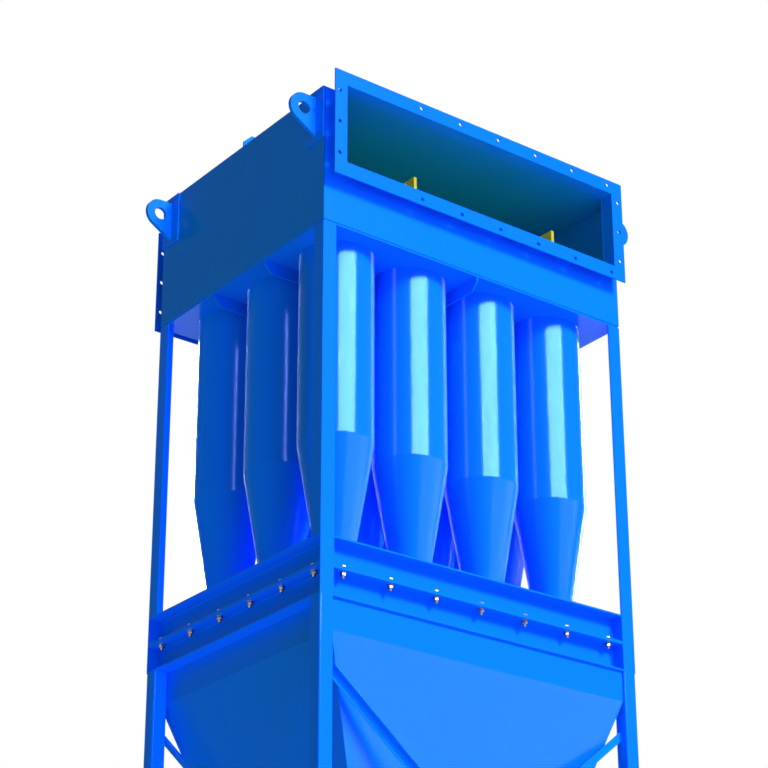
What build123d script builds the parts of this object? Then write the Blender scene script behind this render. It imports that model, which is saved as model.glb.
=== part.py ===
"""Battery cyclone: twelve dust cyclones hung from a gas box, on a steel frame with a dust hopper."""
import os
from math import acos, atan2, cos, hypot, radians, sin, tan

from build123d import *

# Millimetres. X runs along the front, the front faces -Y, and Z = 0 is the floor under the feet.

# Overall plan of the frame and the gas box
body_width = 2000.0
body_depth = 1520.0
frame_width = 80.0

# Heights, from the floor up
leg_height = 4000.0
channel_height = 152.0
post_length = 1680.0
head_height = 775.0

# Frame sections
leg_wall = 5.0
leg_corner_radius = 10.0
foot_side = 200.0
foot_thickness = 20.0
anchor_spacing = 140.0
anchor_hole_radius = 12.0
post_thickness = 8.0
post_root_radius = 8.0
channel_flange = 9.0
channel_web = 6.4
channel_root_radius = 9.0
end_cap_thickness = 6.0

# Bolts that clamp the upper ring on the lower ring
ring_bolt_hole_radius = 9.0
ring_bolt_gauge = 30.0
front_bolt_count = 7
front_bolt_pitch = 282.0
side_bolt_count = 6
side_bolt_pitch = 267.0

# Diagonal braces between the legs
brace_side = 40.0
brace_thickness = 5.0
brace_root_radius = 5.0
brace_plane_depth = 50.0
brace_top_drop = 340.0
brace_fall = 1518.0

# Cyclones
column_count = 4
row_count = 3
column_land = 295.0
row_land = 290.0
cyclone_gap = 80.0
cyclone_wall = 5.0
cyclone_cylinder = 1060.0
cone_tail_radius = 74.0
cone_tail_reach = 98.0
dust_plate_thickness = 10.0

# Clean gas tubes inside the cyclones
tube_radius = 95.0
tube_wall = 4.0
tube_dip = 250.0

# Gas box
box_plate = 6.0
floor_plate = 12.0
floor_setback = 4.0
roof_rib_height = 90.0
roof_rib_chamfer = 50.0
roof_rib_inset = 10.0
floor_rib_depth = 70.0
floor_rib_chamfer = 42.0
floor_rib_inset = 5.0
rib_thickness = 10.0

# Inlet and outlet ducts
duct_side_land = 86.0
duct_height = 455.0
duct_depth = 80.0
inlet_sill = 90.0
duct_flange_side = 76.0
duct_flange_top = 80.0
duct_flange_thickness = 8.0
duct_hole_radius = 11.0
duct_hole_edge = 30.0
duct_column_pitch = 184.0
duct_row_edge = 33.0
duct_row_count = 6
duct_row_pitch = 263.4
duct_row_start = 102.0

# Yellow stiffeners on the tube sheet
stiffener_thickness = 18.0
stiffener_height = 73.0
stiffener_front_gap = 8.0

# Lifting lugs
pad_width = 150.0
pad_height = 300.0
pad_thickness = 10.0
lug_thickness = 20.0
lug_radius = 85.0
lug_hole_radius = 36.0
lug_reach = 72.0
lug_hole_drop = 127.0
lug_foot_drop = 272.0

# Hopper
hopper_plate = 6.0
hopper_setback = 17.0
hopper_band = 162.0
hopper_fall = 2000.0
hopper_lap = 100.0
outlet_side = 400.0
neck_height = 60.0
outlet_flange_width = 50.0
outlet_flange_thickness = 10.0
outlet_hole_inset = 22.0
outlet_hole_radius = 7.0

# Levels and edges worked out from the sizes above
half_width = body_width / 2
half_depth = body_depth / 2
inner_width = half_width - frame_width
inner_depth = half_depth - frame_width
ring_bottom = leg_height
ring_split = ring_bottom + channel_height
ring_top = ring_split + channel_height
floor_underside = ring_top + post_length
floor_top = floor_underside + floor_plate
roof_top = floor_top + head_height
roof_underside = roof_top - box_plate
column_pitch = (body_width - 2 * column_land) / (column_count - 1)
row_pitch = (body_depth - 2 * row_land) / (row_count - 1)
cyclone_radius = (min(column_pitch, row_pitch) - cyclone_gap) / 2
wall_inside = half_depth - box_plate
side_inside = half_width - box_plate
duct_width = body_width - 2 * duct_side_land
outlet_sill_level = roof_underside - duct_height
inlet_sill_level = floor_top + inlet_sill
inlet_top_level = inlet_sill_level + duct_height
cone_joint = floor_underside - cyclone_cylinder
cone_tail = ring_top - cone_tail_reach
cone_length = cone_joint - cone_tail
hopper_band_bottom = ring_bottom - hopper_band
hopper_bottom = hopper_band_bottom - hopper_fall

corners = {
    "front_left": (-1, -1),
    "front_right": (1, -1),
    "rear_left": (-1, 1),
    "rear_right": (1, 1),
}


def block(x_limits, y_limits, z_limits):
    """A box between three pairs of limits."""
    pairs = (x_limits, y_limits, z_limits)
    sizes = [high - low for low, high in pairs]
    centre = [(high + low) / 2 for low, high in pairs]
    return Pos(*centre) * Box(*sizes)


def disc(x, y, radius, z_limits):
    """An upright cylinder between two heights."""
    low, high = z_limits
    return Pos(x, y, (low + high) / 2) * Cylinder(radius, high - low)


def to_corner(piece, side_x, side_y):
    """Mirror a front left piece to another corner."""
    if side_x > 0:
        piece = mirror(piece, Plane.YZ)
    if side_y > 0:
        piece = mirror(piece, Plane.XZ)
    return piece


def spread(count, pitch):
    """Positions of a row of equal steps about zero."""
    return [(index - (count - 1) / 2) * pitch for index in range(count)]


def joined(pieces):
    """One shape from a list of shapes."""
    whole = pieces[0]
    for piece in pieces[1:]:
        whole = whole + piece
    return whole


def angle_section(side, thickness, root_radius):
    """An equal angle with its heel at the origin and its legs along +X and +Y."""
    outline = Polyline(
        (0, 0),
        (side, 0),
        (side, thickness),
        (thickness, thickness),
        (thickness, side),
        (0, side),
        close=True,
    )
    section = make_face(outline)
    root = section.vertices().sort_by_distance((thickness, thickness, 0))[0]
    return fillet(root, root_radius)


def side_profile(points, x_limits):
    """A plate drawn in the Y and Z plane and given its thickness along X."""
    low, high = x_limits
    face = make_face(Polyline(*[(0, y, z) for y, z in points], close=True))
    return Pos(low, 0, 0) * extrude(face, amount=high - low, dir=(1, 0, 0))


# Legs, rings and posts

def leg():
    """Front left square leg with its anchored foot plate."""
    centre_x = -half_width + frame_width / 2
    centre_y = -half_depth + frame_width / 2
    bore_side = frame_width - 2 * leg_wall
    tube = RectangleRounded(frame_width, frame_width, leg_corner_radius)
    tube -= RectangleRounded(bore_side, bore_side, leg_corner_radius - leg_wall)
    shaft = Pos(0, 0, foot_thickness) * extrude(tube, amount=leg_height - foot_thickness)
    half = foot_side / 2
    foot = block((-half, half), (-half, half), (0, foot_thickness))
    offset = anchor_spacing / 2
    for x in (-offset, offset):
        for y in (-offset, offset):
            foot -= disc(x, y, anchor_hole_radius, (-1, foot_thickness + 1))
    return Pos(centre_x, centre_y, 0) * (shaft + foot)


def post():
    """Front left angle post between the upper ring and the gas box."""
    section = angle_section(frame_width, post_thickness, post_root_radius)
    return Pos(-half_width, -half_depth, ring_top) * extrude(section, amount=post_length)


def channel(length, capped, bolts, bolted_at_top):
    """A channel along X, open to -Y, with its back on Y = 0 and its underside on Z = 0."""
    tip = -frame_width
    web = -channel_web
    low = channel_flange
    high = channel_height - channel_flange
    outline = Polyline(
        (tip, 0),
        (0, 0),
        (0, channel_height),
        (tip, channel_height),
        (tip, high),
        (web, high),
        (web, low),
        (tip, low),
        close=True,
    )
    section = make_face(outline)
    roots = [section.vertices().sort_by_distance((web, z, 0))[0] for z in (low, high)]
    section = fillet(roots, channel_root_radius)
    bar = Pos(-length / 2, 0, 0) * extrude(Plane.YZ * section, amount=length)
    if capped:
        for end in (-1, 1):
            edges = sorted((end * length / 2, end * (length / 2 - end_cap_thickness)))
            bar += block(edges, (tip, web), (low, high))
    hole_level = high if bolted_at_top else 0
    for x in bolts:
        y = tip + ring_bolt_gauge
        bar -= disc(x, y, ring_bolt_hole_radius, (hole_level - 1, hole_level + channel_flange + 1))
    return bar


def ring(level, bolted_at_top):
    """Four channels that make one frame: the side ones run through and are capped."""
    front = channel(2 * inner_width, False, spread(front_bolt_count, front_bolt_pitch), bolted_at_top)
    side = channel(body_depth, True, spread(side_bolt_count, side_bolt_pitch), bolted_at_top)
    return {
        "front": Pos(0, -inner_depth, level) * front,
        "rear": Pos(0, inner_depth, level) * Rot(0, 0, 180) * front,
        "left": Pos(-inner_width, 0, level) * Rot(0, 0, -90) * side,
        "right": Pos(inner_width, 0, level) * Rot(0, 0, 90) * side,
    }


def brace(behind):
    """A front diagonal falling to the right, cut off on the inner faces of the legs."""
    run = 2 * inner_width
    middle = ring_bottom - brace_top_drop - brace_fall / 2
    length = hypot(run, brace_fall)
    along = (run / length, 0, -brace_fall / length)
    section = Pos(0, -brace_side / 2) * angle_section(brace_side, brace_thickness, brace_root_radius)
    if behind:
        section = Rot(0, 0, 180) * section
    depth = -half_depth + brace_plane_depth
    frame = Plane(origin=(0, depth, middle), x_dir=(0, -1, 0), z_dir=along)
    bar = extrude(frame * section, amount=length, both=True)
    span = block((-inner_width, inner_width), (-half_depth, half_depth), (0, ring_bottom))
    return bar & span


# Cyclones, dust plate and clean gas tubes

def cyclone_places():
    """Row, column, X and Y of each cyclone, from the front left one."""
    for row, y in enumerate(spread(row_count, row_pitch), start=1):
        for column, x in enumerate(spread(column_count, column_pitch), start=1):
            yield row, column, x, y


def turned(points):
    """A solid of revolution about Z from radius and height pairs."""
    face = make_face(Polyline(*[(radius, 0, z) for radius, z in points], close=True))
    return revolve(face, Axis.Z)


def cyclone():
    """A cylinder with a long cone below it, open at both ends."""
    taper = atan2(cyclone_radius - cone_tail_radius, cone_length)
    cone_wall = cyclone_wall / cos(taper)
    return turned([
        (cyclone_radius - cyclone_wall, floor_underside),
        (cyclone_radius, floor_underside),
        (cyclone_radius, cone_joint),
        (cone_tail_radius, cone_tail),
        (cone_tail_radius - cone_wall, cone_tail),
        (cyclone_radius - cyclone_wall, cone_joint),
    ])


def cyclone_outside():
    """The filled outer form of a cyclone's cone, which cuts its seat in the dust plate."""
    return turned([
        (0, cone_joint),
        (cyclone_radius, cone_joint),
        (cone_tail_radius, cone_tail),
        (0, cone_tail),
    ])


def dust_plate():
    """Plate that closes the top of the hopper round the cyclone tails."""
    plate = block(
        (-inner_width, inner_width),
        (-inner_depth, inner_depth),
        (ring_top - dust_plate_thickness, ring_top),
    )
    seat = cyclone_outside()
    for _, _, x, y in cyclone_places():
        plate -= Pos(x, y, 0) * seat
    return plate


sheet_front = outlet_sill_level
sheet_rear = inlet_top_level + box_plate


def above_sheet():
    """The space over the sloping tube sheet."""
    clear = roof_top + duct_height
    points = [
        (-wall_inside, sheet_front),
        (wall_inside, sheet_rear),
        (wall_inside, clear),
        (-wall_inside, clear),
    ]
    return side_profile(points, (-side_inside, side_inside))


def tube_sheet():
    """Sloping plate between the dusty gas below and the clean gas above."""
    points = [
        (-wall_inside, sheet_front),
        (-wall_inside, sheet_front - box_plate),
        (wall_inside, sheet_rear - box_plate),
        (wall_inside, sheet_rear),
    ]
    sheet = side_profile(points, (-side_inside, side_inside))
    for _, _, x, y in cyclone_places():
        sheet -= disc(x, y, tube_radius, (floor_top, roof_top))
    return sheet


def gas_tubes():
    """Clean gas tubes, cut off along the tube sheet."""
    foot = floor_underside - tube_dip
    tube = disc(0, 0, tube_radius, (foot, roof_underside))
    tube -= disc(0, 0, tube_radius - tube_wall, (foot - 1, roof_underside + 1))
    cutter = above_sheet()
    tubes = [Pos(x, y, 0) * tube - cutter for _, _, x, y in cyclone_places()]
    return Compound(children=[piece.solid() for piece in tubes])


# Gas box

def side_wall():
    """Left side plate of the gas box."""
    return block((-half_width, -side_inside), (-half_depth, half_depth), (floor_top, roof_underside))


def duct_wall(sill_level):
    """Front wall of the gas box, open where its duct meets it."""
    wall = block((-side_inside, side_inside), (-half_depth, -wall_inside), (floor_top, roof_underside))
    opening = block(
        (-duct_width / 2, duct_width / 2),
        (-half_depth - 1, -wall_inside + 1),
        (sill_level, sill_level + duct_height),
    )
    return wall - opening


def duct_holes(sill_level):
    """X and Z of the bolt holes in a duct flange."""
    flange_half = duct_width / 2 + duct_flange_side
    middle = sill_level + duct_height / 2
    column_x = flange_half - duct_hole_edge
    for x in (-column_x, column_x):
        for z in spread(3, duct_column_pitch):
            yield x, middle + z
    row_z = duct_height / 2 + duct_flange_top - duct_row_edge
    for z in (-row_z, row_z):
        for index in range(duct_row_count):
            yield flange_half - duct_row_start - index * duct_row_pitch, middle + z


def duct(sill_level):
    """Short duct on the front wall, with its flange."""
    half = duct_width / 2
    top_level = sill_level + duct_height
    back = -half_depth
    front = back - duct_depth
    stub = block(
        (-half - box_plate, half + box_plate),
        (front, back),
        (sill_level - box_plate, top_level + box_plate),
    )
    flange = block(
        (-half - duct_flange_side, half + duct_flange_side),
        (front, front + duct_flange_thickness),
        (sill_level - duct_flange_top, top_level + duct_flange_top),
    )
    bore = block((-half, half), (front - 1, back + 1), (sill_level, top_level))
    piece = stub + flange - bore
    hole = Rot(90, 0, 0) * Cylinder(duct_hole_radius, 3 * duct_flange_thickness)
    for x, z in duct_holes(sill_level):
        piece -= Pos(x, front, z) * hole
    return piece


def turned_to_rear(piece):
    """Turn a front piece half round to the rear."""
    return Rot(0, 0, 180) * piece


def floor_sheet():
    """Floor of the gas box, open over each cyclone, its edge set back under the walls."""
    reach_x = half_width - floor_setback
    reach_y = half_depth - floor_setback
    sheet = block((-reach_x, reach_x), (-reach_y, reach_y), (floor_underside, floor_top))
    for _, _, x, y in cyclone_places():
        sheet -= disc(x, y, cyclone_radius - cyclone_wall, (floor_underside - 1, floor_top + 1))
    return sheet


def roof_sheet():
    """Flat roof of the gas box."""
    return block((-half_width, half_width), (-half_depth, half_depth), (roof_underside, roof_top))


def rib(half_length, root, depth, chamfer):
    """A flat bar along Y on edge, with its two far corners cut off."""
    reach = root + depth
    shoulder = reach - chamfer if depth > 0 else reach + chamfer
    points = [
        (-half_length, root),
        (-half_length, shoulder),
        (-half_length + chamfer, reach),
        (half_length - chamfer, reach),
        (half_length, shoulder),
        (half_length, root),
    ]
    return side_profile(points, (-rib_thickness / 2, rib_thickness / 2))


def roof_rib():
    """Rib across the middle of the roof."""
    return Rot(0, 0, 90) * rib(half_width - roof_rib_inset, roof_top, roof_rib_height, roof_rib_chamfer)


def middle_floor_rib():
    """Rib under the floor, from front to rear."""
    return rib(half_depth - floor_rib_inset, floor_underside, -floor_rib_depth, floor_rib_chamfer)


def cross_floor_rib(y):
    """Rib under the floor from side to side, in two lengths that butt on the middle rib."""
    bar = rib(half_width - floor_rib_inset, floor_underside, -floor_rib_depth, floor_rib_chamfer)
    halves = Pos(0, y, 0) * Rot(0, 0, 90) * bar - middle_floor_rib()
    return Compound(children=list(halves.solids()))


def stiffeners():
    """Two yellow bars on the tube sheet, which start in the mouth of the clean gas duct."""
    nose = -half_depth - duct_depth + stiffener_front_gap
    points = [
        (nose, sheet_front),
        (-wall_inside, sheet_front),
        (wall_inside, sheet_rear),
        (wall_inside, sheet_rear + stiffener_height),
        (-wall_inside, sheet_front + stiffener_height),
        (nose, sheet_front + stiffener_height),
    ]
    bar = side_profile(points, (-stiffener_thickness / 2, stiffener_thickness / 2))
    return Compound(children=[(Pos(side * column_pitch, 0, 0) * bar).solid() for side in (-1, 1)])


def lifting_lug():
    """Front left lifting lug on its pad."""
    pad_face = -half_width - pad_thickness
    pad_rear = -half_depth + pad_width
    pad = block((pad_face, -half_width), (-half_depth, pad_rear), (roof_top - pad_height, roof_top))
    centre_x = pad_face - lug_reach
    centre_z = roof_top - lug_hole_drop
    foot_z = roof_top - lug_foot_drop
    foot_x = pad_face - centre_x
    foot_drop = foot_z - centre_z
    tangent = atan2(foot_drop, foot_x) - acos(lug_radius / hypot(foot_x, foot_drop))
    web = Polyline(
        (foot_x, lug_radius),
        (0, lug_radius),
        (lug_radius * cos(tangent), lug_radius * sin(tangent)),
        (foot_x, foot_drop),
        close=True,
    )
    outline = make_face(web) + Circle(lug_radius) - Circle(lug_hole_radius)
    middle = -half_depth + pad_width / 2
    frame = Plane(origin=(centre_x, middle, centre_z), x_dir=(1, 0, 0), z_dir=(0, -1, 0))
    plate = extrude(frame * outline, amount=lug_thickness / 2, both=True)
    outside = block((centre_x - lug_radius, pad_face), (-half_depth, pad_rear), (foot_z, roof_top))
    return pad + (plate & outside)


# Hopper

def quad(outer, inner, level):
    """A flat strip between an outer and an inner edge, as (half length, distance) pairs."""
    (outer_half, outer_y), (inner_half, inner_y) = outer, inner
    outline = Polyline(
        (-outer_half, outer_y, level),
        (outer_half, outer_y, level),
        (inner_half, inner_y, level),
        (-inner_half, inner_y, level),
        close=True,
    )
    return make_face(outline)


def hopper_panel(half_length, distance):
    """One side of the hopper facing -Y: an upright band, then a slope to the outlet."""
    outlet = outlet_side / 2
    lower_inside = (outlet - hopper_plate, hopper_plate - outlet)
    bottom = quad((outlet, -outlet), lower_inside, hopper_bottom)
    upper_inside = (half_length - hopper_plate, hopper_plate - distance)
    top = quad((half_length, -distance), upper_inside, hopper_band_bottom)
    return loft([bottom, top], ruled=True) + extrude(top, amount=hopper_band, dir=(0, 0, 1))


def hopper_front():
    """Front hopper plate, which stops under the flange of the lower ring."""
    return hopper_panel(inner_width, half_depth - hopper_setback)


def hopper_left():
    """Left hopper plate, which runs up the back of the lower ring."""
    panel = Rot(0, 0, -90) * hopper_panel(half_depth - hopper_setback, inner_width)
    lap = block(
        (-inner_width, hopper_plate - inner_width),
        (-inner_depth, inner_depth),
        (ring_bottom, ring_bottom + hopper_lap),
    )
    return panel + lap


def outlet_neck():
    """Square neck under the hopper with a drilled flange."""
    outer = outlet_side / 2
    reach = outer + outlet_flange_width
    bore = outer - hopper_plate
    flange_bottom = hopper_bottom - neck_height - outlet_flange_thickness
    flange_top = flange_bottom + outlet_flange_thickness
    neck = block((-outer, outer), (-outer, outer), (flange_top, hopper_bottom))
    flange = block((-reach, reach), (-reach, reach), (flange_bottom, flange_top))
    piece = neck + flange - block((-bore, bore), (-bore, bore), (flange_bottom - 1, hopper_bottom + 1))
    hole_line = reach - outlet_hole_inset
    for x in (-hole_line, 0, hole_line):
        for y in (-hole_line, 0, hole_line):
            if x or y:
                piece -= disc(x, y, outlet_hole_radius, (flange_bottom - 1, flange_top + 1))
    return piece


def build():
    """Every node of the model by name."""
    nodes = {}
    for name, (side_x, side_y) in corners.items():
        nodes[f"leg_{name}"] = to_corner(leg(), side_x, side_y)
        nodes[f"post_{name}"] = to_corner(post(), side_x, side_y)
        nodes[f"lifting_lug_{name}"] = to_corner(lifting_lug(), side_x, side_y)
    for side, bar in ring(ring_bottom, True).items():
        nodes[f"lower_ring_{side}"] = bar
    for side, bar in ring(ring_split, False).items():
        nodes[f"upper_ring_{side}"] = bar
    falling, rising = brace(False), mirror(brace(True), Plane.YZ)
    nodes["brace_front_falling"] = falling
    nodes["brace_front_rising"] = rising
    nodes["brace_rear_falling"] = turned_to_rear(falling)
    nodes["brace_rear_rising"] = turned_to_rear(rising)
    for row, column, x, y in cyclone_places():
        nodes[f"cyclone_row_{row}_column_{column}"] = Pos(x, y, 0) * cyclone()
    nodes["dust_plate"] = dust_plate()
    nodes["gas_tubes"] = gas_tubes()
    nodes["tube_sheet"] = tube_sheet()
    nodes["tube_sheet_stiffeners"] = stiffeners()
    nodes["box_floor"] = floor_sheet()
    nodes["box_roof"] = roof_sheet()
    nodes["box_left_wall"] = side_wall()
    nodes["box_right_wall"] = mirror(side_wall(), Plane.YZ)
    nodes["box_front_wall"] = duct_wall(outlet_sill_level)
    nodes["box_rear_wall"] = turned_to_rear(duct_wall(inlet_sill_level))
    nodes["outlet_duct"] = duct(outlet_sill_level)
    nodes["inlet_duct"] = turned_to_rear(duct(inlet_sill_level))
    nodes["roof_rib"] = roof_rib()
    nodes["floor_rib_middle"] = middle_floor_rib()
    nodes["floor_rib_front"] = cross_floor_rib(-row_pitch / 2)
    nodes["floor_rib_rear"] = cross_floor_rib(row_pitch / 2)
    nodes["hopper_front_plate"] = hopper_front()
    nodes["hopper_rear_plate"] = turned_to_rear(hopper_front())
    nodes["hopper_left_plate"] = hopper_left()
    nodes["hopper_right_plate"] = mirror(hopper_left(), Plane.YZ)
    nodes["hopper_outlet"] = outlet_neck()
    return nodes


def main():
    """Write one STEP file per node."""
    os.makedirs("parts", exist_ok=True)
    for name, shape in build().items():
        export_step(shape, f"parts/{name}.step")


if __name__ == "__main__":
    main()
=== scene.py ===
"""Looks of the battery cyclone: painted steel, zinc bolts, a plain studio and the camera."""
import logging
import math
from dataclasses import dataclass, field
from enum import Enum

import bmesh
import bpy
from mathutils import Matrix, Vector

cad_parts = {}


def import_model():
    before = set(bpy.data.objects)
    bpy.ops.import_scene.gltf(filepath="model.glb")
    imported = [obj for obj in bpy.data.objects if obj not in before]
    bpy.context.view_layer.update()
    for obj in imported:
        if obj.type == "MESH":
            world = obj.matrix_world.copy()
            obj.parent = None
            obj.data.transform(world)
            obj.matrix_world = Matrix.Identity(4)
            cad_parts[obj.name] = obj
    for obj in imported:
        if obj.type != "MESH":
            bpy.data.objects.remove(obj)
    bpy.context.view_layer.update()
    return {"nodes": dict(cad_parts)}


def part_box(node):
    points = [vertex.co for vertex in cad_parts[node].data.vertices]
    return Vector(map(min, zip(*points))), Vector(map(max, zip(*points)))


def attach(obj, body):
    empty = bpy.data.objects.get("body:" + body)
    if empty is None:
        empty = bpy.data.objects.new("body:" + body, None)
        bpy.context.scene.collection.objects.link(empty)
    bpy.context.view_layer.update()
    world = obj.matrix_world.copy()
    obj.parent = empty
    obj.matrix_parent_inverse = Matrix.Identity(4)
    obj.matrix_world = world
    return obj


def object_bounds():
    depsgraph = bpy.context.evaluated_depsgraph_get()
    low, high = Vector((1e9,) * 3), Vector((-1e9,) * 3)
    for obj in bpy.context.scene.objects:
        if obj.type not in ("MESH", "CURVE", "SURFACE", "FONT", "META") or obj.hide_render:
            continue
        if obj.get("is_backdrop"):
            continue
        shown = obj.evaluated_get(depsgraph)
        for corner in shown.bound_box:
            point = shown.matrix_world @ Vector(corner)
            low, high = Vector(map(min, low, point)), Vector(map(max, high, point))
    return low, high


LOG = logging.getLogger("battery_cyclone")

Colour = tuple[float, float, float]
Point = tuple[float, float, float]
Things = dict[str, bpy.types.Object]

WHITE: Colour = (1.0, 1.0, 1.0)
CYAN: Colour = (0.40, 1.0, 1.0)

# A screen colour's curve: straight up to the knee, a power above it.
CURVE_KNEE = 0.04045
CURVE_SLOPE = 12.92
CURVE_OFFSET = 0.055
CURVE_POWER = 2.4

# Numbers of the sockets that share their names with others on the same node.
MIX_FACTOR, MIX_FIRST, MIX_SECOND = 0, 6, 7
MIX_RESULT = 2
RANDOM_HIGH = 3
RANDOM_RESULT = 1


class Coat(Enum):
    """The finishes, by the names of their materials."""

    BLUE_GLOSS = "blue_paint"
    YELLOW_GLOSS = "yellow_paint"
    ZINC = "bright_zinc"
    FLOOR = "pale_floor"


def linear(hex_colour: str) -> tuple[float, float, float, float]:
    """Turn a screen colour into the linear values that a shader takes.

    Args:
        hex_colour: Six hexadecimal digits.

    Returns:
        Red, green, blue and an alpha of one.
    """
    channels = [int(hex_colour[start:start + 2], 16) / 255 for start in (0, 2, 4)]
    values = [
        value / CURVE_SLOPE
        if value <= CURVE_KNEE
        else ((value + CURVE_OFFSET) / (1 + CURVE_OFFSET)) ** CURVE_POWER
        for value in channels
    ]
    return values[0], values[1], values[2], 1.0


class ShaderSheet:
    """A material's node tree with short calls for the nodes that the finishes share."""

    def __init__(self, name: str) -> None:
        """Start a material with an output and the object's coordinates.

        Args:
            name: The material's name.
        """
        self.material = bpy.data.materials.new(name)
        self.material.use_nodes = True
        self.tree = self.material.node_tree
        self.tree.nodes.clear()
        self.output = self.tree.nodes.new("ShaderNodeOutputMaterial")
        self.place = self.tree.nodes.new("ShaderNodeTexCoord").outputs["Object"]

    def node(self, kind: str, **settings: object) -> bpy.types.Node:
        """Add a node.

        Args:
            kind: Blender's name of the kind of node.
            settings: The node's plain properties by name.

        Returns:
            The new node.
        """
        made = self.tree.nodes.new(kind)
        for key, value in settings.items():
            setattr(made, key, value)
        return made

    def link(self, source: bpy.types.NodeSocket, target: bpy.types.NodeSocket) -> None:
        """Join two sockets.

        Args:
            source: An output.
            target: An input.
        """
        self.tree.links.new(source, target)

    def feed(self, value: object, target: bpy.types.NodeSocket) -> None:
        """Give an input its value.

        Args:
            value: A socket to join, or a plain value to set.
            target: An input.
        """
        if isinstance(value, bpy.types.NodeSocket):
            self.link(value, target)
        else:
            target.default_value = value

    def noise(self, scale: float, detail: float) -> bpy.types.NodeSocket:
        """Even noise over the object.

        Args:
            scale: Features per metre.
            detail: Octaves of finer noise.

        Returns:
            The noise value, from 0 to 1.
        """
        made = self.node("ShaderNodeTexNoise")
        self.feed(scale, made.inputs["Scale"])
        self.feed(detail, made.inputs["Detail"])
        self.link(self.place, made.inputs["Vector"])
        return made.outputs["Fac"]

    def math(self, operation: str, first: object, second: object) -> bpy.types.NodeSocket:
        """One arithmetic step on sockets or numbers.

        Args:
            operation: Blender's name of the operation.
            first: A socket or a number.
            second: A socket or a number.

        Returns:
            The result's socket.
        """
        made = self.node("ShaderNodeMath", operation=operation)
        for target, value in zip(made.inputs, (first, second)):
            self.feed(value, target)
        return made.outputs["Value"]

    def mix(
        self, factor: bpy.types.NodeSocket, first: object, second: object
    ) -> bpy.types.NodeSocket:
        """Blend two colours.

        Args:
            factor: Share of the second colour.
            first: A socket or four numbers.
            second: A socket or four numbers.

        Returns:
            The blended colour's socket.
        """
        made = self.node("ShaderNodeMix", data_type="RGBA")
        self.link(factor, made.inputs[MIX_FACTOR])
        self.feed(first, made.inputs[MIX_FIRST])
        self.feed(second, made.inputs[MIX_SECOND])
        return made.outputs[MIX_RESULT]

    def map_range(
        self, value: bpy.types.NodeSocket, low: float, high: float
    ) -> bpy.types.NodeSocket:
        """Spread 0 to 1 over another range.

        Args:
            value: The socket to spread.
            low: Result at 0.
            high: Result at 1.

        Returns:
            The result's socket.
        """
        made = self.node("ShaderNodeMapRange")
        self.feed(low, made.inputs["To Min"])
        self.feed(high, made.inputs["To Max"])
        self.link(value, made.inputs["Value"])
        return made.outputs["Result"]

    def bump(self, height: bpy.types.NodeSocket, depth: float) -> bpy.types.NodeSocket:
        """Relief from a height.

        Args:
            height: Height from 0 to 1.
            depth: Metres between the lowest and the highest point.

        Returns:
            The bent normal's socket.
        """
        made = self.node("ShaderNodeBump")
        self.feed(1.0, made.inputs["Strength"])
        self.feed(depth, made.inputs["Distance"])
        self.link(height, made.inputs["Height"])
        return made.outputs["Normal"]

    def close(self, shader: bpy.types.Node) -> bpy.types.Material:
        """Send a shader to the output.

        Args:
            shader: The node whose first output is the surface.

        Returns:
            The finished material.
        """
        self.link(shader.outputs[0], self.output.inputs["Surface"])
        return self.material


@dataclass(frozen=True)
class GlossPaint:
    """Sprayed gloss paint with a faint orange peel and a little drift in its colour.

    Noise scales are in features per metre and the peel's depth is in metres.
    """

    name: str
    colour: str
    drift_colour: str
    drift_scale: float = 1.7
    drift_detail: float = 2.0
    rough_scale: float = 9.0
    rough_detail: float = 3.0
    rough_low: float = 0.155
    rough_high: float = 0.165
    peel_scale: float = 260.0
    peel_detail: float = 1.0
    peel_depth: float = 0.000003
    specular: float = 0.01

    def make(self) -> bpy.types.Material:
        """Build the paint.

        Returns:
            The finished material.
        """
        sheet = ShaderSheet(self.name)
        surface = sheet.node("ShaderNodeBsdfPrincipled")
        drift = sheet.noise(self.drift_scale, self.drift_detail)
        colour = sheet.mix(drift, linear(self.colour), linear(self.drift_colour))
        cloud = sheet.noise(self.rough_scale, self.rough_detail)
        rough = sheet.map_range(cloud, self.rough_low, self.rough_high)
        peel = sheet.bump(sheet.noise(self.peel_scale, self.peel_detail), self.peel_depth)
        sheet.feed(colour, surface.inputs["Base Color"])
        sheet.feed(rough, surface.inputs["Roughness"])
        sheet.feed(self.specular, surface.inputs["Specular IOR Level"])
        sheet.feed(peel, surface.inputs["Normal"])
        return sheet.close(surface)


@dataclass(frozen=True)
class ZincPlate:
    """Bright zinc on bolts, nuts and washers.

    Noise scales are in features per metre and the grain's depth is in metres.
    """

    name: str = Coat.ZINC.value
    colour: str = "B8B2A4"
    dull_colour: str = "8C8678"
    cloud_scale: float = 120.0
    cloud_detail: float = 3.0
    rough_low: float = 0.20
    rough_high: float = 0.32
    grain_scale: float = 900.0
    grain_detail: float = 1.0
    grain_depth: float = 0.00002

    def make(self) -> bpy.types.Material:
        """Build the metal with its cloudy bloom.

        Returns:
            The finished material.
        """
        sheet = ShaderSheet(self.name)
        surface = sheet.node("ShaderNodeBsdfPrincipled")
        cloud = sheet.noise(self.cloud_scale, self.cloud_detail)
        colour = sheet.mix(cloud, linear(self.colour), linear(self.dull_colour))
        rough = sheet.map_range(cloud, self.rough_low, self.rough_high)
        grain = sheet.bump(sheet.noise(self.grain_scale, self.grain_detail), self.grain_depth)
        sheet.feed(colour, surface.inputs["Base Color"])
        sheet.feed(1.0, surface.inputs["Metallic"])
        sheet.feed(rough, surface.inputs["Roughness"])
        sheet.feed(grain, surface.inputs["Normal"])
        return sheet.close(surface)


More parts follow.
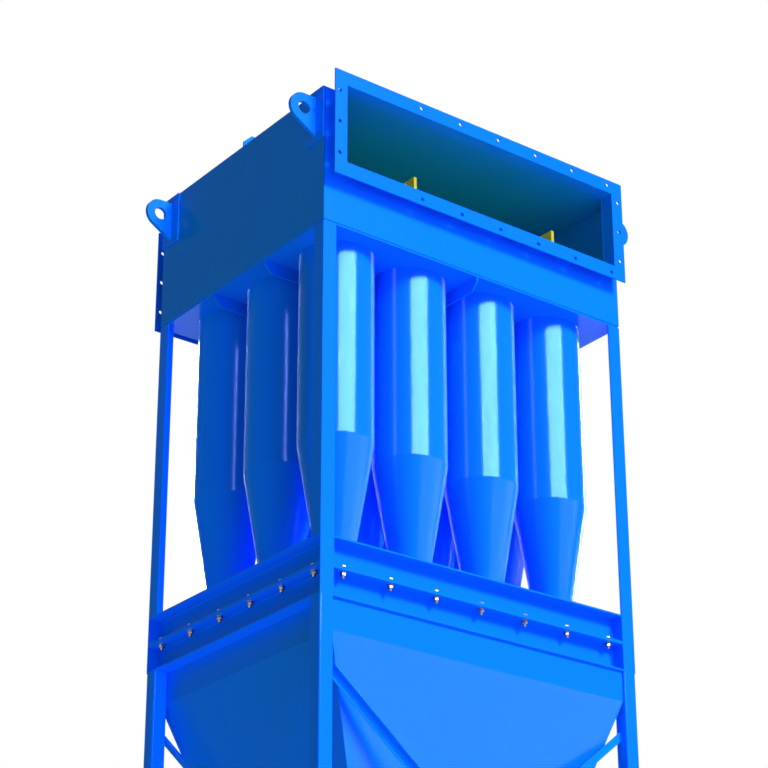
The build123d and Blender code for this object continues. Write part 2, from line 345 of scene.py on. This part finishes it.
def dress(nodes: Things, prefixes: tuple[str, ...], material: bpy.types.Material) -> int:
    """Give a material to every CAD node whose name starts with one of the prefixes.

    Args:
        nodes: The CAD nodes by name.
        prefixes: Starts of the names.
        material: The finish.

    Returns:
        How many nodes were dressed.
    """
    count = 0
    for name, thing in nodes.items():
        if name.startswith(prefixes):
            thing.data.materials.clear()
            thing.data.materials.append(material)
            count += 1
    return count


@dataclass(frozen=True)
class BoltRow:
    """A straight row of bolts: the first one's place and the step to the next."""

    name: str
    count: int
    start: Point
    step: Point


@dataclass
class RingBolts:
    """Zinc bolts that clamp the upper ring on the lower ring, measured in metres."""

    across_flats: float = 0.027
    head_height: float = 0.011
    nut_height: float = 0.017
    hexagon: int = 6
    washer_radius: float = 0.017
    washer_height: float = 0.003
    washer_sides: int = 28
    shank_radius: float = 0.008
    thread_pitch: float = 0.002
    thread_depth: float = 0.0009
    thread_sides: int = 20
    thread_stub: float = 0.014
    fewest_turns: int = 2
    edge_bevel: float = 0.0008
    bevel_segments: int = 2
    bevel_profile: float = 0.6
    level_tolerance: float = 0.000001
    gauge: float = 0.030
    flange: float = 0.009
    front_count: int = 7
    front_pitch: float = 0.282
    side_count: int = 6
    side_pitch: float = 0.267
    pieces: list[bpy.types.Object] = field(default_factory=list)

    def prism(
        self, mesh: bmesh.types.BMesh, sides: int, radius: float, low: float, high: float
    ) -> None:
        """Add an upright prism with softened rims.

        Args:
            mesh: The mesh to add to.
            sides: Sides of its outline.
            radius: Radius to the outline's corners.
            low: Lower height.
            high: Upper height.
        """
        made = bmesh.ops.create_cone(
            mesh, cap_ends=True, segments=sides, radius1=radius, radius2=radius, depth=high - low
        )
        bmesh.ops.translate(mesh, verts=made["verts"], vec=(0.0, 0.0, (low + high) / 2))
        edges = dict.fromkeys(edge for vert in made["verts"] for edge in vert.link_edges)
        rims = []
        for edge in edges:
            first, second = edge.verts
            if abs(first.co.z - second.co.z) < self.level_tolerance:
                rims.append(edge)
        bmesh.ops.bevel(
            mesh,
            geom=rims,
            offset=self.edge_bevel,
            segments=self.bevel_segments,
            affect="EDGES",
            profile=self.bevel_profile,
        )

    def thread(self, mesh: bmesh.types.BMesh, low: float, high: float) -> None:
        """Add the ridged end of the bolt.

        Args:
            mesh: The mesh to add to.
            low: Lower height.
            high: Upper height.
        """
        steps = 2 * max(self.fewest_turns, round((high - low) / self.thread_pitch))
        angles = [2 * math.pi * index / self.thread_sides for index in range(self.thread_sides)]
        rings = []
        for step in range(steps + 1):
            radius = self.shank_radius - (self.thread_depth if step % 2 else 0.0)
            height = low + (high - low) * step / steps
            places = [(radius * math.cos(a), radius * math.sin(a), height) for a in angles]
            rings.append([mesh.verts.new(place) for place in places])
        for below, above in zip(rings, rings[1:]):
            for index in range(self.thread_sides):
                after = (index + 1) % self.thread_sides
                mesh.faces.new((below[index], below[after], above[after], above[index]))
        mesh.faces.new(list(reversed(rings[0])))
        mesh.faces.new(rings[-1])

    def template(self, material: bpy.types.Material) -> bpy.types.Object:
        """One bolt with washers and nut, the joint plane at zero.

        Args:
            material: Its metal.

        Returns:
            The object that the rows copy.
        """
        mesh = bmesh.new()
        corner = self.across_flats / math.sqrt(3)
        seat = self.flange + self.washer_height
        nut_low = -seat - self.nut_height
        self.prism(mesh, self.washer_sides, self.washer_radius, self.flange, seat)
        self.prism(mesh, self.hexagon, corner, seat, seat + self.head_height)
        self.prism(mesh, self.washer_sides, self.washer_radius, -seat, -self.flange)
        self.prism(mesh, self.hexagon, corner, nut_low, -seat)
        self.thread(mesh, nut_low - self.thread_stub, nut_low)
        bmesh.ops.recalc_face_normals(mesh, faces=mesh.faces)
        data = bpy.data.meshes.new("ring_bolt_template")
        mesh.to_mesh(data)
        mesh.free()
        data.materials.append(material)
        thing = bpy.data.objects.new("ring_bolt_template", data)
        bpy.context.scene.collection.objects.link(thing)
        return thing

    def row_tree(self, material: bpy.types.Material) -> bpy.types.NodeTree:
        """Geometry nodes that set copies of a bolt along a line.

        Args:
            material: The metal that the realized bolts keep.

        Returns:
            The tree, with the inputs Bolt, Count, Start, Step and Turn Seed.
        """
        tree = bpy.data.node_groups.new("ring_bolt_row", "GeometryNodeTree")
        sockets = (
            ("Bolt", "INPUT", "NodeSocketObject"),
            ("Count", "INPUT", "NodeSocketInt"),
            ("Start", "INPUT", "NodeSocketVector"),
            ("Step", "INPUT", "NodeSocketVector"),
            ("Turn Seed", "INPUT", "NodeSocketInt"),
            ("Geometry", "OUTPUT", "NodeSocketGeometry"),
        )
        for name, side, kind in sockets:
            tree.interface.new_socket(name, in_out=side, socket_type=kind)
        entry = tree.nodes.new("NodeGroupInput")
        leave = tree.nodes.new("NodeGroupOutput")
        line = tree.nodes.new("GeometryNodeMeshLine")
        info = tree.nodes.new("GeometryNodeObjectInfo")
        turn = tree.nodes.new("FunctionNodeRandomValue")
        turn.data_type = "FLOAT"
        turn.inputs[RANDOM_HIGH].default_value = 2 * math.pi / self.hexagon
        spin = tree.nodes.new("ShaderNodeCombineXYZ")
        copies = tree.nodes.new("GeometryNodeInstanceOnPoints")
        real = tree.nodes.new("GeometryNodeRealizeInstances")
        coat = tree.nodes.new("GeometryNodeSetMaterial")
        coat.inputs["Material"].default_value = material
        joins = (
            (entry.outputs["Count"], line.inputs["Count"]),
            (entry.outputs["Start"], line.inputs["Start Location"]),
            (entry.outputs["Step"], line.inputs["Offset"]),
            (entry.outputs["Bolt"], info.inputs["Object"]),
            (entry.outputs["Turn Seed"], turn.inputs["Seed"]),
            (turn.outputs[RANDOM_RESULT], spin.inputs["Z"]),
            (line.outputs["Mesh"], copies.inputs["Points"]),
            (info.outputs["Geometry"], copies.inputs["Instance"]),
            (spin.outputs["Vector"], copies.inputs["Rotation"]),
            (copies.outputs["Instances"], real.inputs["Geometry"]),
            (real.outputs["Geometry"], coat.inputs["Geometry"]),
            (coat.outputs["Geometry"], leave.inputs["Geometry"]),
        )
        for source, target in joins:
            tree.links.new(source, target)
        return tree

    def realize(
        self, name: str, tree: bpy.types.NodeTree, values: dict[str, object]
    ) -> bpy.types.Object:
        """Make one row of bolts as a plain mesh.

        Args:
            name: The piece's name.
            tree: The row's geometry nodes.
            values: The tree's inputs by name.

        Returns:
            The piece, with its place in its mesh.
        """
        carrier = bpy.data.objects.new(f"{name}_carrier", bpy.data.meshes.new(f"{name}_carrier"))
        bpy.context.scene.collection.objects.link(carrier)
        modifier = carrier.modifiers.new("row", "NODES")
        modifier.node_group = tree
        for item in tree.interface.items_tree:
            if item.in_out == "INPUT" and item.name in values:
                modifier[item.identifier] = values[item.name]
        graph = bpy.context.evaluated_depsgraph_get()
        data = bpy.data.meshes.new_from_object(carrier.evaluated_get(graph), depsgraph=graph)
        data.name = name
        carrier.modifiers.remove(modifier)
        bpy.data.objects.remove(carrier)
        piece = bpy.data.objects.new(name, data)
        bpy.context.scene.collection.objects.link(piece)
        return piece

    def rows(self) -> tuple[BoltRow, ...]:
        """Lay out the rows on the bolt lines of the rings.

        Returns:
            The rows at the front, the rear, the left and the right.
        """
        low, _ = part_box("upper_ring_left")
        side_x = low[0] + self.gauge
        front_y = low[1] + self.gauge
        joint = low[2]
        front_x = -(self.front_count - 1) / 2 * self.front_pitch
        side_y = -(self.side_count - 1) / 2 * self.side_pitch
        along = (self.front_pitch, 0.0, 0.0)
        across = (0.0, self.side_pitch, 0.0)
        return (
            BoltRow("ring_bolts_front", self.front_count, (front_x, front_y, joint), along),
            BoltRow("ring_bolts_rear", self.front_count, (front_x, -front_y, joint), along),
            BoltRow("ring_bolts_left", self.side_count, (side_x, side_y, joint), across),
            BoltRow("ring_bolts_right", self.side_count, (-side_x, side_y, joint), across),
        )

    def build(self, material: bpy.types.Material) -> None:
        """Set the bolts in the holes of the rings and let them ride with the frame.

        Args:
            material: Their metal.
        """
        template = self.template(material)
        tree = self.row_tree(material)
        for seed, row in enumerate(self.rows(), start=1):
            values = {
                "Bolt": template,
                "Count": row.count,
                "Start": row.start,
                "Step": row.step,
                "Turn Seed": seed,
            }
            piece = self.realize(row.name, tree, values)
            piece.data.shade_flat()
            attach(piece, "root")
            self.pieces.append(piece)
            LOG.info("%s: %d bolts, %d faces", row.name, row.count, len(piece.data.polygons))
        bpy.data.objects.remove(template)


@dataclass
class Steelwork:
    """The painted pieces of the separator, by what they belong to."""

    frame_nodes: tuple[str, ...] = ("leg_", "post_", "lower_ring_", "upper_ring_", "brace_")
    battery_nodes: tuple[str, ...] = ("cyclone_", "dust_plate")
    hopper_nodes: tuple[str, ...] = ("hopper_",)
    box_nodes: tuple[str, ...] = ("box_", "outlet_duct", "inlet_duct")
    trim_nodes: tuple[str, ...] = ("roof_rib", "floor_rib", "lifting_lug_")
    inner_nodes: tuple[str, ...] = ("tube_sheet", "gas_tubes")
    blue: GlossPaint = GlossPaint(Coat.BLUE_GLOSS.value, "0E8EFF", "0A8AFF")
    yellow: GlossPaint = GlossPaint(Coat.YELLOW_GLOSS.value, "F0E642", "E8DC3C")

    def build(self, nodes: Things) -> None:
        """Dress every CAD node.

        Args:
            nodes: The CAD nodes by name.
        """
        outside = self.blue.make()
        groups = {
            "frame": (self.frame_nodes, outside),
            "cyclones": (self.battery_nodes, outside),
            "hopper": (self.hopper_nodes, outside),
            "gas box": (self.box_nodes, outside),
            "ribs and lugs": (self.trim_nodes, outside),
            "inner plates and bars": (self.inner_nodes, self.yellow.make()),
        }
        for label, (prefixes, material) in groups.items():
            LOG.info("%s: %d nodes dressed", label, dress(nodes, prefixes, material))


def toward(heading: float, height: float) -> Vector:
    """Unit vector from the object to a lamp.

    Args:
        heading: Degrees to the right of the front's normal.
        height: Degrees above the horizon.

    Returns:
        The direction.
    """
    turn, rise = math.radians(heading), math.radians(height)
    level = math.cos(rise)
    return Vector((math.sin(turn) * level, -math.cos(turn) * level, math.sin(rise)))


@dataclass(frozen=True)
class Lamp:
    """What every lamp has: its direction, its colour and the steel that it shines on.

    With nothing in lit it shines on everything, the floor too, and with nothing in
    blocked_by everything throws a shadow in its light.
    """

    name: str
    heading: float
    height: float
    colour: Colour = WHITE
    lit: tuple[str, ...] = ()
    unlit: tuple[str, ...] = ()
    blocked_by: tuple[str, ...] = ()

    def collect(self, label: str, things: Things, starts: tuple[str, ...]) -> bpy.types.Collection:
        """Gather the objects whose names start in one of several ways.

        Args:
            label: What the collection is for.
            things: Objects by name.
            starts: Starts of the names.

        Returns:
            The collection, without what the lamp leaves unlit.
        """
        made = bpy.data.collections.new(f"{self.name}_{label}")
        for name, thing in things.items():
            if name.startswith(starts) and not name.startswith(self.unlit):
                made.objects.link(thing)
        return made

    def hang(self, data: bpy.types.Light, place: Vector, things: Things) -> bpy.types.Object:
        """Put the lamp in the scene, turned to the object.

        Args:
            data: The light.
            place: Where it stands.
            things: Objects by name.

        Returns:
            The lamp's object.
        """
        data.color = self.colour
        lamp = bpy.data.objects.new(self.name, data)
        lamp.location = place
        lamp.rotation_euler = toward(self.heading, self.height).to_track_quat("Z", "Y").to_euler()
        linking = lamp.light_linking
        if self.lit:
            linking.receiver_collection = self.collect("lit", things, self.lit)
        if self.blocked_by:
            linking.blocker_collection = self.collect("blockers", things, self.blocked_by)
        bpy.context.scene.collection.objects.link(lamp)
        return lamp


@dataclass(frozen=True)
class SunLamp(Lamp):
    """A soft distant lamp that gives light but doesn't show in gloss."""

    strength: float = 1.0
    spread: float = 20.0

    def build(self, things: Things) -> None:
        """Make the lamp.

        Args:
            things: Objects by name.
        """
        data = bpy.data.lights.new(self.name, "SUN")
        data.energy = self.strength
        data.angle = math.radians(self.spread)
        self.hang(data, Vector(), things).visible_glossy = False


@dataclass(frozen=True)
class PanelLamp(Lamp):
    """A rectangular lamp that shows in gloss only.

    It stands at a distance in metres from the point at a share, its level, of the
    object's height.
    """

    watts: float = 1000.0
    size: tuple[float, float] = (1.0, 1.0)
    distance: float = 14.0
    level: float = 0.75

    def build(self, things: Things) -> None:
        """Make the lamp.

        Args:
            things: Objects by name.
        """
        data = bpy.data.lights.new(self.name, "AREA")
        data.shape = "RECTANGLE"
        data.size, data.size_y = self.size
        data.energy = self.watts
        middle = Vector((0.0, 0.0, self.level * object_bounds()[1][2]))
        place = middle + toward(self.heading, self.height) * self.distance
        lamp = self.hang(data, place, things)
        lamp.visible_diffuse = False
        lamp.visible_camera = False


# Starts of the names of what single lamps light, leave out or are blocked by.
EVERYTHING = ("",)
BATTERY = ("cyclone_",)
FRONT_ROW = ("cyclone_row_1_",)
INNER_ROWS = ("cyclone_row_2_", "cyclone_row_3_")
LEFT_COLUMN = ("cyclone_row_2_column_1", "cyclone_row_3_column_1")
INNER_WALLS = ("box_left", "box_right", "box_rear", "box_roof", "tube_sheet", "gas_tubes")
REAR_STEEL = ("post_rear_", "leg_rear_", "brace_")
UPPER_RING = ("upper_ring_",)
LEFT_RINGS = ("upper_ring_left", "lower_ring_left")
BOLTS = ("ring_bolts_",)

SOFTBOX: dict[str, object] = {"heading": -6.3, "height": 33.0, "size": (11.5, 9.0)}
STRIP: dict[str, object] = {
    "height": 24.0,
    "colour": (0.6, 1.0, 1.0),
    "watts": 3400.0,
    "size": (1.6, 9.0),
    "lit": FRONT_ROW,
    "blocked_by": UPPER_RING,
}
LAMPS = (
    # Daylight on the front, and the same on the back for views from behind.
    SunLamp("key_lamp", 15.0, 30.0, strength=2.4, spread=18.0),
    SunLamp("back_lamp", 145.0, 30.0, strength=2.4, spread=18.0, lit=EVERYTHING),
    # The blue glow in corners and recesses, by where it is strongest.
    SunLamp(
        "blue_fill",
        8.0,
        -3.0,
        (0.0, 0.10, 1.0),
        strength=5.0,
        spread=60.0,
        lit=EVERYTHING,
        unlit=(*BOLTS, "brace_", *INNER_WALLS),
    ),
    SunLamp("floor_bounce", 0.0, -78.0, (1.0, 0.9, 1.0), strength=0.65, spread=70.0),
    SunLamp("rear_fill", -7.0, -3.0, (0.05, 0.30, 1.0), strength=2.6, lit=REAR_STEEL),
    SunLamp(
        "deep_fill",
        90.0,
        -65.0,
        (0.0, 0.0, 1.0),
        strength=3.2,
        lit=INNER_ROWS,
        blocked_by=UPPER_RING,
    ),
    SunLamp(
        "ring_fill", -60.0, -60.0, (0.0, 0.2, 1.0), strength=1.1, spread=30.0, lit=LEFT_RINGS
    ),
    SunLamp("flange_fill", -60.0, 0.0, (0.0, 0.3, 1.0), strength=1.3, lit=("box_front_wall",)),
    SunLamp(
        "left_fill", -100.0, 0.0, (0.0, 0.8, 1.0), strength=0.34, spread=60.0, lit=LEFT_COLUMN
    ),
    # The broad stripe on each cyclone, and the glints on the bolts.
    PanelLamp(
        "softbox",
        colour=CYAN,
        watts=200000.0,
        lit=EVERYTHING,
        unlit=(*BOLTS, *LEFT_COLUMN),
        **SOFTBOX,
    ),
    PanelLamp(
        "left_softbox", colour=(0.20, 0.29, 1.0), watts=210000.0, lit=LEFT_COLUMN, **SOFTBOX
    ),
    PanelLamp("bolt_glint", watts=4200.0, lit=("ring_bolts_front",), **SOFTBOX),
    # Sheen on the hopper and on the floor of the gas box.
    PanelLamp(
        "low_panel",
        39.0,
        -8.0,
        watts=2700.0,
        size=(5.5, 3.6),
        distance=6.0,
        level=0.43,
        lit=("hopper_front",),
    ),
    PanelLamp(
        "corner_panel",
        143.0,
        -27.0,
        watts=140.0,
        size=(4.0, 2.2),
        distance=5.0,
        lit=("box_floor",),
    ),
    # The haze and the thin bright lines down the sides of the cyclones.
    PanelLamp("horizon", 42.0, 4.0, watts=8600.0, size=(30.0, 4.6), lit=BATTERY),
    PanelLamp("left_strip", -81.0, **STRIP),
    PanelLamp("right_strip", 104.0, **STRIP),
    PanelLamp(
        "rim_lamp",
        163.0,
        24.0,
        (0.5, 0.65, 1.0),
        watts=11000.0,
        size=(4.9, 9.0),
        lit=BATTERY,
        blocked_by=UPPER_RING,
    ),
)


@dataclass(frozen=True)
class PaleFloor:
    """A wide pale floor that takes the object's shadow and shows white in gloss.

    Its lift is the light that it adds for the camera, so that it looks nearly white.
    """

    radius: float = 60.0
    sides: int = 96
    drop: float = 0.002
    colour: str = "F0F0F0"
    drift_colour: str = "ECECEC"
    drift_scale: float = 0.8
    drift_detail: float = 3.0
    roughness: float = 0.9
    specular: float = 0.1
    lift: float = 0.42

    def material(self) -> bpy.types.Material:
        """Make the floor's coat.

        Returns:
            The finished material.
        """
        sheet = ShaderSheet(Coat.FLOOR.value)
        surface = sheet.node("ShaderNodeBsdfPrincipled")
        drift = sheet.noise(self.drift_scale, self.drift_detail)
        tone = sheet.mix(drift, linear(self.colour), linear(self.drift_colour))
        sheet.feed(tone, surface.inputs["Base Color"])
        sheet.feed(self.roughness, surface.inputs["Roughness"])
        sheet.feed(self.specular, surface.inputs["Specular IOR Level"])
        rays = sheet.node("ShaderNodeLightPath").outputs
        mirrored = sheet.math("MAXIMUM", rays["Is Glossy Ray"], rays["Is Transmission Ray"])
        lifted = sheet.math("MULTIPLY", rays["Is Camera Ray"], self.lift)
        glow = sheet.node("ShaderNodeEmission")
        sheet.feed(sheet.math("MAXIMUM", mirrored, lifted), glow.inputs["Strength"])
        both = sheet.node("ShaderNodeAddShader")
        sheet.link(surface.outputs[0], both.inputs[0])
        sheet.link(glow.outputs[0], both.inputs[1])
        return sheet.close(both)

    def build(self) -> None:
        """Lay the floor just below the feet."""
        mesh = bmesh.new()
        bmesh.ops.create_circle(mesh, cap_ends=True, segments=self.sides, radius=self.radius)
        data = bpy.data.meshes.new("studio_floor")
        mesh.to_mesh(data)
        mesh.free()
        data.materials.append(self.material())
        thing = bpy.data.objects.new("studio_floor", data)
        thing.location = (0.0, 0.0, -self.drop)
        thing.visible_shadow = False
        bpy.context.scene.collection.objects.link(thing)
        thing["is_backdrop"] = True


@dataclass(frozen=True)
class Studio:
    """White background, lamps, floor and the camera at the photograph's viewpoint.

    The eye is in metres, the angles are in degrees, and the lens is measured in the
    photograph's pixels.
    """

    eye: Point = (-6.965, -9.052, 0.218)
    heading: float = 37.085
    tilt: float = 23.780
    focal_pixels: float = 2331.1
    centre_x_pixel: float = 371.86
    centre_y_pixel: float = 451.18
    frame_pixels: float = 768.0
    sensor_mm: float = 36.0
    far_clip: float = 300.0
    background: float = 1.0
    sky_light: float = 0.105

    def camera(self) -> None:
        """Set the camera where the photograph was taken from."""
        lens = bpy.data.cameras.new("photograph_camera")
        lens.sensor_fit = "HORIZONTAL"
        lens.sensor_width = self.sensor_mm
        lens.lens = self.sensor_mm * self.focal_pixels / self.frame_pixels
        half = self.frame_pixels / 2
        lens.shift_x = (half - self.centre_x_pixel) / self.frame_pixels
        lens.shift_y = (self.centre_y_pixel - half) / self.frame_pixels
        lens.clip_end = self.far_clip
        thing = bpy.data.objects.new("photograph_camera", lens)
        thing.location = self.eye
        thing.rotation_euler = (math.radians(90 + self.tilt), 0.0, -math.radians(self.heading))
        bpy.context.scene.collection.objects.link(thing)
        bpy.context.scene.camera = thing

    def world(self) -> None:
        """White where the camera, gloss or glass sees it, and dim as light on the object."""
        sky = bpy.data.worlds.new("white_studio")
        sky.use_nodes = True
        tree = sky.node_tree
        tree.nodes.clear()
        output = tree.nodes.new("ShaderNodeOutputWorld")
        blend = tree.nodes.new("ShaderNodeMixShader")
        for slot, strength in ((1, self.sky_light), (2, self.background)):
            white = tree.nodes.new("ShaderNodeBackground")
            white.inputs["Color"].default_value = (*WHITE, 1.0)
            white.inputs["Strength"].default_value = strength
            tree.links.new(white.outputs[0], blend.inputs[slot])
        rays = tree.nodes.new("ShaderNodeLightPath").outputs
        seen = rays["Is Camera Ray"]
        for other in ("Is Glossy Ray", "Is Transmission Ray"):
            either = tree.nodes.new("ShaderNodeMath")
            either.operation = "MAXIMUM"
            tree.links.new(seen, either.inputs[0])
            tree.links.new(rays[other], either.inputs[1])
            seen = either.outputs[0]
        tree.links.new(seen, blend.inputs[0])
        tree.links.new(blend.outputs[0], output.inputs["Surface"])
        bpy.context.scene.world = sky

    def build(self, things: Things) -> None:
        """Set up the whole studio.

        Args:
            things: The CAD nodes and the rows of bolts by name.
        """
        self.camera()
        for lamp in LAMPS:
            lamp.build(things)
        self.world()
        PaleFloor().build()
        bpy.context.scene.view_settings.view_transform = "Standard"


def main() -> None:
    """Load the frame, dress it, set the bolts and light it."""
    logging.basicConfig(level=logging.INFO, format="%(name)s: %(message)s")
    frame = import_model()
    Steelwork().build(frame["nodes"])
    ring_bolts = RingBolts()
    ring_bolts.build(ZincPlate().make())
    bolts = {piece.name: piece for piece in ring_bolts.pieces}
    Studio().build({**frame["nodes"], **bolts})


if __name__ == "__main__":
    main()
